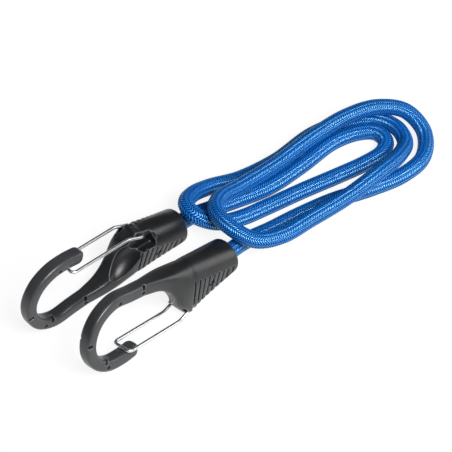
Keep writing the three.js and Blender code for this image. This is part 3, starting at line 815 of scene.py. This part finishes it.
# Cut latex rubber, dusted with talc: pale cream and dull.
TALC_PATCH = 1.5
LATEX_IOR = 1.52
latex, tree = bare("cut_latex_rubber")
spot_of = add(tree, "ShaderNodeTexCoord")
talc = add(tree, "ShaderNodeTexNoise", links={
    "Vector": spot_of.outputs["Object"], "Scale": 1 / (TALC_PATCH * MM), "Detail": 3,
})
latex_stops = [(0.3, "#cfc39b"), (0.7, "#e2dabd")]
latex_color = add(tree, "ShaderNodeValToRGB", links={"Fac": talc.outputs["Fac"]}, stops=latex_stops)
latex_gloss = add(tree, "ShaderNodeMapRange", links={
    "Value": talc.outputs["Fac"], "To Min": 0.7, "To Max": 0.9,
})
latex_face = add(tree, "ShaderNodeBsdfPrincipled", links={
    "Base Color": latex_color.outputs["Color"], "Roughness": latex_gloss.outputs["Result"], "IOR": LATEX_IOR,
})
add(tree, "ShaderNodeOutputMaterial", links={"Surface": latex_face.outputs["BSDF"]})


def dress(made, material):
    """Gives an object one material."""
    made.data.materials.clear()
    made.data.materials.append(material)


dress(braid, yarn)
dress(rubber, latex)
for name, (hook, wire) in hooks.items():
    dress(hook, nylon)
    dress(wire, plated)
    dress(frame["nodes"][f"{name}_steel_core"], drawn)
    dress(frame["nodes"][f"{name}_cord_pin"], drawn)

# White paper sweep: to the camera and in reflections it is white, and it still takes the object's shadow
FLOOR_SIZE = 6
FLOOR_GLOW = 0.87
paper, tree = bare("white_paper")
ray = add(tree, "ShaderNodeLightPath")
seen = add(tree, "ShaderNodeMath", {"operation": "MAXIMUM"}, {
    0: ray.outputs["Is Camera Ray"], 1: ray.outputs["Is Glossy Ray"],
})
seen_too = add(tree, "ShaderNodeMath", {"operation": "MAXIMUM"}, {
    0: seen.outputs[0], 1: ray.outputs["Is Transmission Ray"],
})
glow_level = add(tree, "ShaderNodeMath", {"operation": "MULTIPLY"}, {0: seen_too.outputs[0], 1: FLOOR_GLOW})
glow = add(tree, "ShaderNodeEmission", links={"Strength": glow_level.outputs[0]})
matt = add(tree, "ShaderNodeBsdfDiffuse", links={"Color": hue("#6e6e6e")})
both = add(tree, "ShaderNodeAddShader", links={0: glow.outputs["Emission"], 1: matt.outputs["BSDF"]})
add(tree, "ShaderNodeOutputMaterial", links={"Surface": both.outputs["Shader"]})
sheet = bmesh.new()
bmesh.ops.create_grid(sheet, x_segments=FLOOR_CUTS, y_segments=FLOOR_CUTS, size=FLOOR_SIZE / 2)
floor = piece(sheet, "floor")
dress(floor, paper)

# Light: a dim room that only the camera sees as white, with a soft key lamp and a soft side lamp
ROOM_LIGHT = 0.05
KEY_WAY = Vector((-0.12, -0.62, 0.78))
KEY_AWAY = 1.3
KEY_SIZE = 0.7
KEY_POWER = 24
SIDE_WAY = Vector((0.75, -0.6, 0.3))
SIDE_AWAY = 1.2
SIDE_SIZE = 0.6
SIDE_POWER = 4
world = bpy.data.worlds.new("studio")
world.use_nodes = True
tree = world.node_tree
tree.nodes.clear()
ray = add(tree, "ShaderNodeLightPath")
room_level = add(tree, "ShaderNodeMapRange", links={
    "Value": ray.outputs["Is Camera Ray"], "To Min": ROOM_LIGHT, "To Max": 1,
})
room_face = add(tree, "ShaderNodeBackground", links={
    "Color": hue("#ffffff"), "Strength": room_level.outputs["Result"],
})
add(tree, "ShaderNodeOutputWorld", links={"Surface": room_face.outputs["Background"]})
scene.world = world


def softbox(name, way, away, size, power):
    """A square lamp that stands off from the hank and faces it."""
    lamp = bpy.data.lights.new(name, "AREA")
    lamp.size = size
    lamp.energy = power
    made = bpy.data.objects.new(name, lamp)
    scene.collection.objects.link(made)
    made.location = LAY + way * away
    made.rotation_euler = (-way).to_track_quat("-Z", "Y").to_euler()


softbox("key", KEY_WAY, KEY_AWAY, KEY_SIZE, KEY_POWER)
softbox("side", SIDE_WAY, SIDE_AWAY, SIDE_SIZE, SIDE_POWER)

scene.view_settings.view_transform = "Standard"
